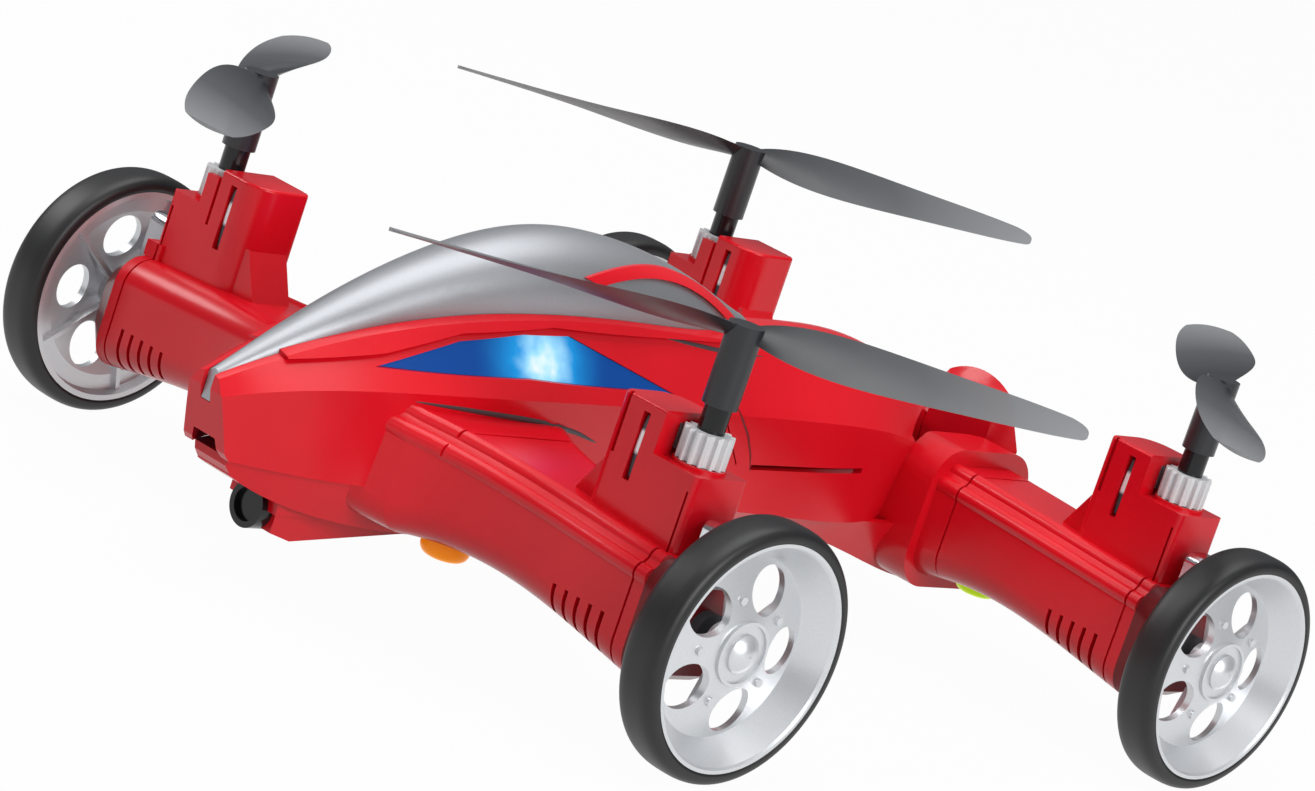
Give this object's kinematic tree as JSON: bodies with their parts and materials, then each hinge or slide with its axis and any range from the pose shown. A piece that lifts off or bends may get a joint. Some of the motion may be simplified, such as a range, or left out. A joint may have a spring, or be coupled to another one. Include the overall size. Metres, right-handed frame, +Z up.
{
  "type": "toy flying car with four rotors",
  "caption": "Toy radio-control flying car: moulded body on four arms, each with a free-turning road wheel and a two-blade rotor on a motor tower.",
  "frame": {"origin": "on the floor, midway between the axles on the centreline", "axes": "+X forward towards the nose, +Y the vehicle's left, +Z up"},
  "size_m": [0.2579, 0.2262, 0.0799],
  "materials": {
    "red_gloss_plastic": "glossy moulded ABS",
    "silver_paint": "silver paint on ABS",
    "black_plastic": "matt black",
    "dark_grey_plastic": "satin dark grey nylon",
    "white_plastic": "white acetal",
    "blue_lens": "clear blue polycarbonate",
    "amber_lens": "clear amber polycarbonate",
    "yellow_green_lens": "clear yellow-green polycarbonate",
    "steel": "plain steel",
    "motor_metal": "plated steel can",
    "silver_rim": "silver paint on ABS",
    "tyre_rubber": "smooth black rubber"
  },
  "bodies": {
    "chassis": {"body_shell": "red_gloss_plastic", "body_floor": "red_gloss_plastic", "canopy": "silver_paint", "camera_pod": "red_gloss_plastic", "camera_lens": "black_plastic", "side_lens_left": "blue_lens", "side_lens_right": "blue_lens", "battery_hatch": "red_gloss_plastic", "canopy_rails": "red_gloss_plastic", "arm_front_left": "red_gloss_plastic", "arm_cap_front_left": "red_gloss_plastic", "axle_front_left": "steel", "axle_bush_front_left": "dark_grey_plastic", "drive_can_front_left": "motor_metal", "flight_motor_front_left": "motor_metal", "lamp_front_left": "amber_lens", "arm_front_right": "red_gloss_plastic", "arm_cap_front_right": "red_gloss_plastic", "axle_front_right": "steel", "axle_bush_front_right": "dark_grey_plastic", "drive_can_front_right": "motor_metal", "flight_motor_front_right": "motor_metal", "lamp_front_right": "amber_lens", "arm_rear_left": "red_gloss_plastic", "arm_cap_rear_left": "red_gloss_plastic", "axle_rear_left": "steel", "axle_bush_rear_left": "dark_grey_plastic", "drive_can_rear_left": "motor_metal", "flight_motor_rear_left": "motor_metal", "lamp_rear_left": "yellow_green_lens", "arm_rear_right": "red_gloss_plastic", "arm_cap_rear_right": "red_gloss_plastic", "axle_rear_right": "steel", "axle_bush_rear_right": "dark_grey_plastic", "drive_can_rear_right": "motor_metal", "flight_motor_rear_right": "motor_metal", "lamp_rear_right": "yellow_green_lens"},
    "wheel_front_left": {"wheel_rim_front_left": "silver_rim", "tyre_front_left": "tyre_rubber"},
    "lift_rotor_front_left": {"rotor_front_left": "dark_grey_plastic", "rotor_shaft_front_left": "black_plastic", "rotor_gear_front_left": "white_plastic"},
    "wheel_front_right": {"wheel_rim_front_right": "silver_rim", "tyre_front_right": "tyre_rubber"},
    "lift_rotor_front_right": {"rotor_front_right": "dark_grey_plastic", "rotor_shaft_front_right": "black_plastic", "rotor_gear_front_right": "white_plastic"},
    "wheel_rear_left": {"wheel_rim_rear_left": "silver_rim", "tyre_rear_left": "tyre_rubber"},
    "lift_rotor_rear_left": {"rotor_rear_left": "dark_grey_plastic", "rotor_shaft_rear_left": "black_plastic", "rotor_gear_rear_left": "white_plastic"},
    "wheel_rear_right": {"wheel_rim_rear_right": "silver_rim", "tyre_rear_right": "tyre_rubber"},
    "lift_rotor_rear_right": {"rotor_rear_right": "dark_grey_plastic", "rotor_shaft_rear_right": "black_plastic", "rotor_gear_rear_right": "white_plastic"}
  },
  "joints": [
    {"name": "wheel_spin_front_left", "type": "hinge", "parent": "chassis", "child": "wheel_front_left", "pos_m": [0.0734, 0.0895, 0.025], "axis": [0, 1, 0], "continuous": true},
    {"name": "rotor_spin_front_left", "type": "hinge", "parent": "chassis", "child": "lift_rotor_front_left", "pos_m": [0.0734, 0.068, 0.077], "axis": [0, 0, 1], "continuous": true},
    {"name": "wheel_spin_front_right", "type": "hinge", "parent": "chassis", "child": "wheel_front_right", "pos_m": [0.0734, -0.0895, 0.025], "axis": [0, 1, 0], "continuous": true},
    {"name": "rotor_spin_front_right", "type": "hinge", "parent": "chassis", "child": "lift_rotor_front_right", "pos_m": [0.0734, -0.068, 0.077], "axis": [0, 0, 1], "continuous": true},
    {"name": "wheel_spin_rear_left", "type": "hinge", "parent": "chassis", "child": "wheel_rear_left", "pos_m": [-0.0734, 0.0895, 0.025], "axis": [0, 1, 0], "continuous": true},
    {"name": "rotor_spin_rear_left", "type": "hinge", "parent": "chassis", "child": "lift_rotor_rear_left", "pos_m": [-0.0734, 0.068, 0.077], "axis": [0, 0, 1], "continuous": true},
    {"name": "wheel_spin_rear_right", "type": "hinge", "parent": "chassis", "child": "wheel_rear_right", "pos_m": [-0.0734, -0.0895, 0.025], "axis": [0, 1, 0], "continuous": true},
    {"name": "rotor_spin_rear_right", "type": "hinge", "parent": "chassis", "child": "lift_rotor_rear_right", "pos_m": [-0.0734, -0.068, 0.077], "axis": [0, 0, 1], "continuous": true}
  ]
}
